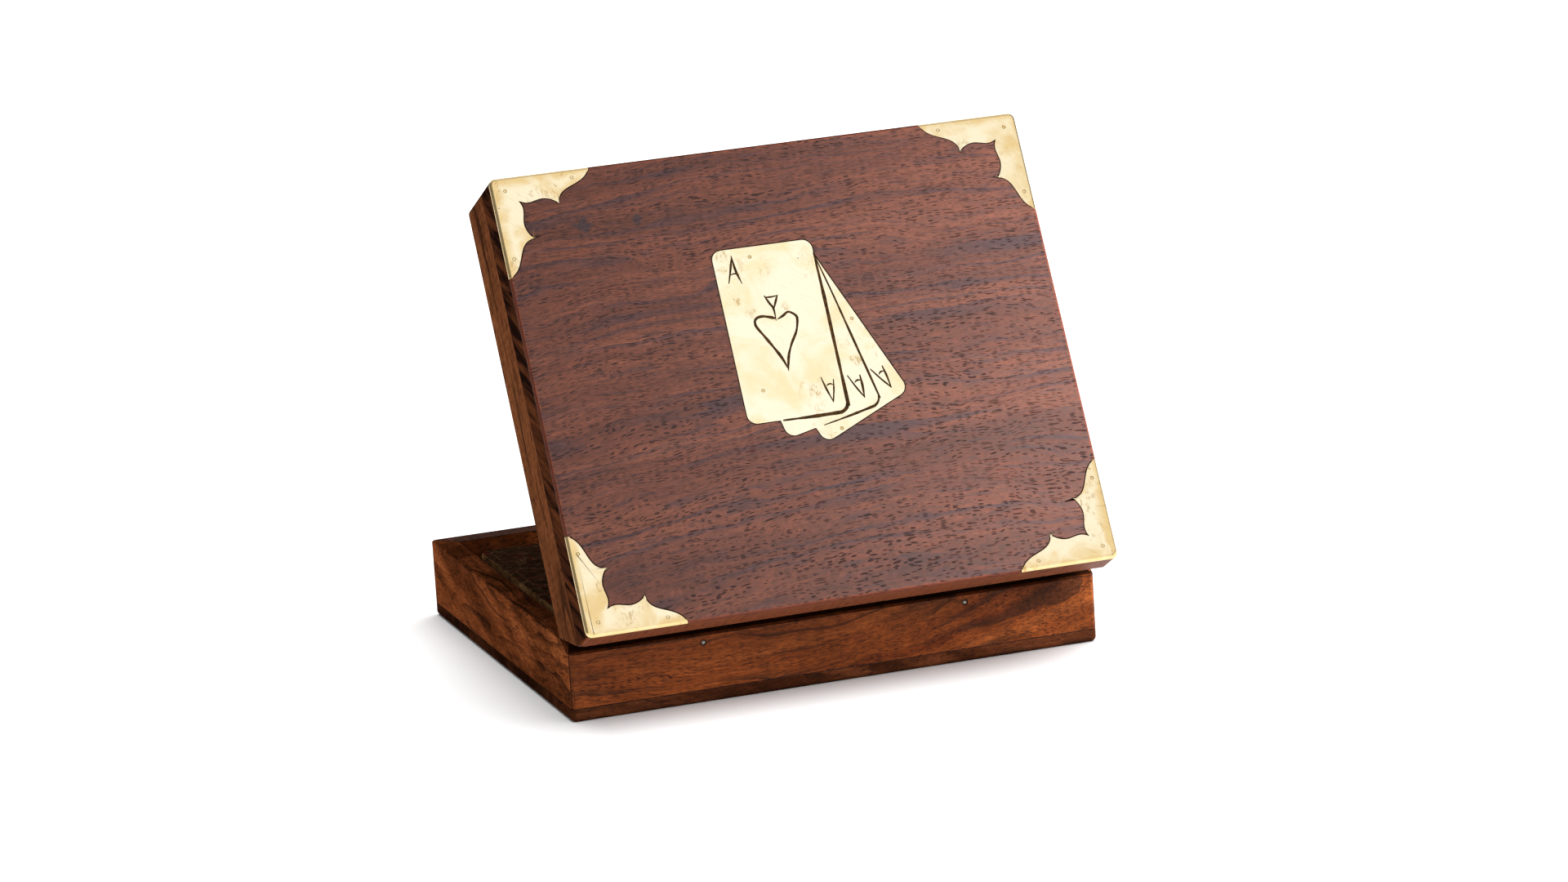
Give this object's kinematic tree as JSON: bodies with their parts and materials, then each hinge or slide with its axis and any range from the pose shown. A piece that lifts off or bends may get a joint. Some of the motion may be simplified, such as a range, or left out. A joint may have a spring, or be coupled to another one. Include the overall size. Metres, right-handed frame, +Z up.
{
  "type": "playing card box",
  "caption": "Hinged hardwood box for playing cards with a partly open lid, scalloped brass corner inlays, a fanned-aces brass plate, lined card wells and a dice channel.",
  "frame": {"origin": "centre of the base's underside, the face that the box rests on", "axes": "+X along the hinge, +Y from the hinge edge to the opening edge, +Z up; the lid is stored 61.5 degrees open"},
  "size_m": [0.165, 0.1604, 0.1535],
  "materials": {
    "lid_board_wood": "oiled rosewood, fine pores, satin",
    "lid_rail_wood": "oiled rosewood, satin",
    "base_rail_wood": "oiled rosewood with figured orange-brown grain, satin",
    "bottom_board_wood": "darker rosewood, satin",
    "divider_wood": "plain rosewood, satin",
    "felt": "dark brown felt",
    "card_stock": "coated card, mottled brown back, worn tan edges",
    "inlay_brass": "polished with light tarnish and scratches",
    "hinge_brass": "aged, satin",
    "brad_steel": "darkened steel"
  },
  "bodies": {
    "base": {"base_bottom_board": "bottom_board_wood", "base_hinge_rail": "base_rail_wood", "base_front_rail": "base_rail_wood", "base_left_rail": "base_rail_wood", "base_right_rail": "base_rail_wood", "well_divider": "divider_wood", "dice_divider": "divider_wood", "left_well_lining": "felt", "right_well_lining": "felt", "dice_channel_lining": "felt", "left_hinge_base_leaf": "hinge_brass", "right_hinge_base_leaf": "hinge_brass", "left_hinge_pin": "hinge_brass", "right_hinge_pin": "hinge_brass", "base_hinge_screws": "hinge_brass", "hinge_rail_brads": "brad_steel"},
    "lid": {"lid_top_board": "lid_board_wood", "lid_hinge_rail": "lid_rail_wood", "lid_front_rail": "lid_rail_wood", "lid_left_rail": "lid_rail_wood", "lid_right_rail": "lid_rail_wood", "lid_lining": "felt", "corner_inlay_left_near": "inlay_brass", "corner_inlay_right_near": "inlay_brass", "corner_inlay_left_far": "inlay_brass", "corner_inlay_right_far": "inlay_brass", "aces_plate": "inlay_brass", "inlay_pins": "inlay_brass", "left_hinge_lid_leaf": "hinge_brass", "right_hinge_lid_leaf": "hinge_brass", "lid_hinge_screws": "hinge_brass"},
    "deck": {"card_deck": "card_stock"}
  },
  "joints": [
    {"name": "lid_hinge", "type": "hinge", "parent": "base", "child": "lid", "pos_m": [0, -0.0625, 0.024], "axis": [1, 0, 0], "range_deg": [-61.5, 28.5]},
    {"name": "deck_lift", "type": "slide", "parent": "base", "child": "deck", "axis": [0, 0, 1], "range_m": [0, 0.018]}
  ]
}
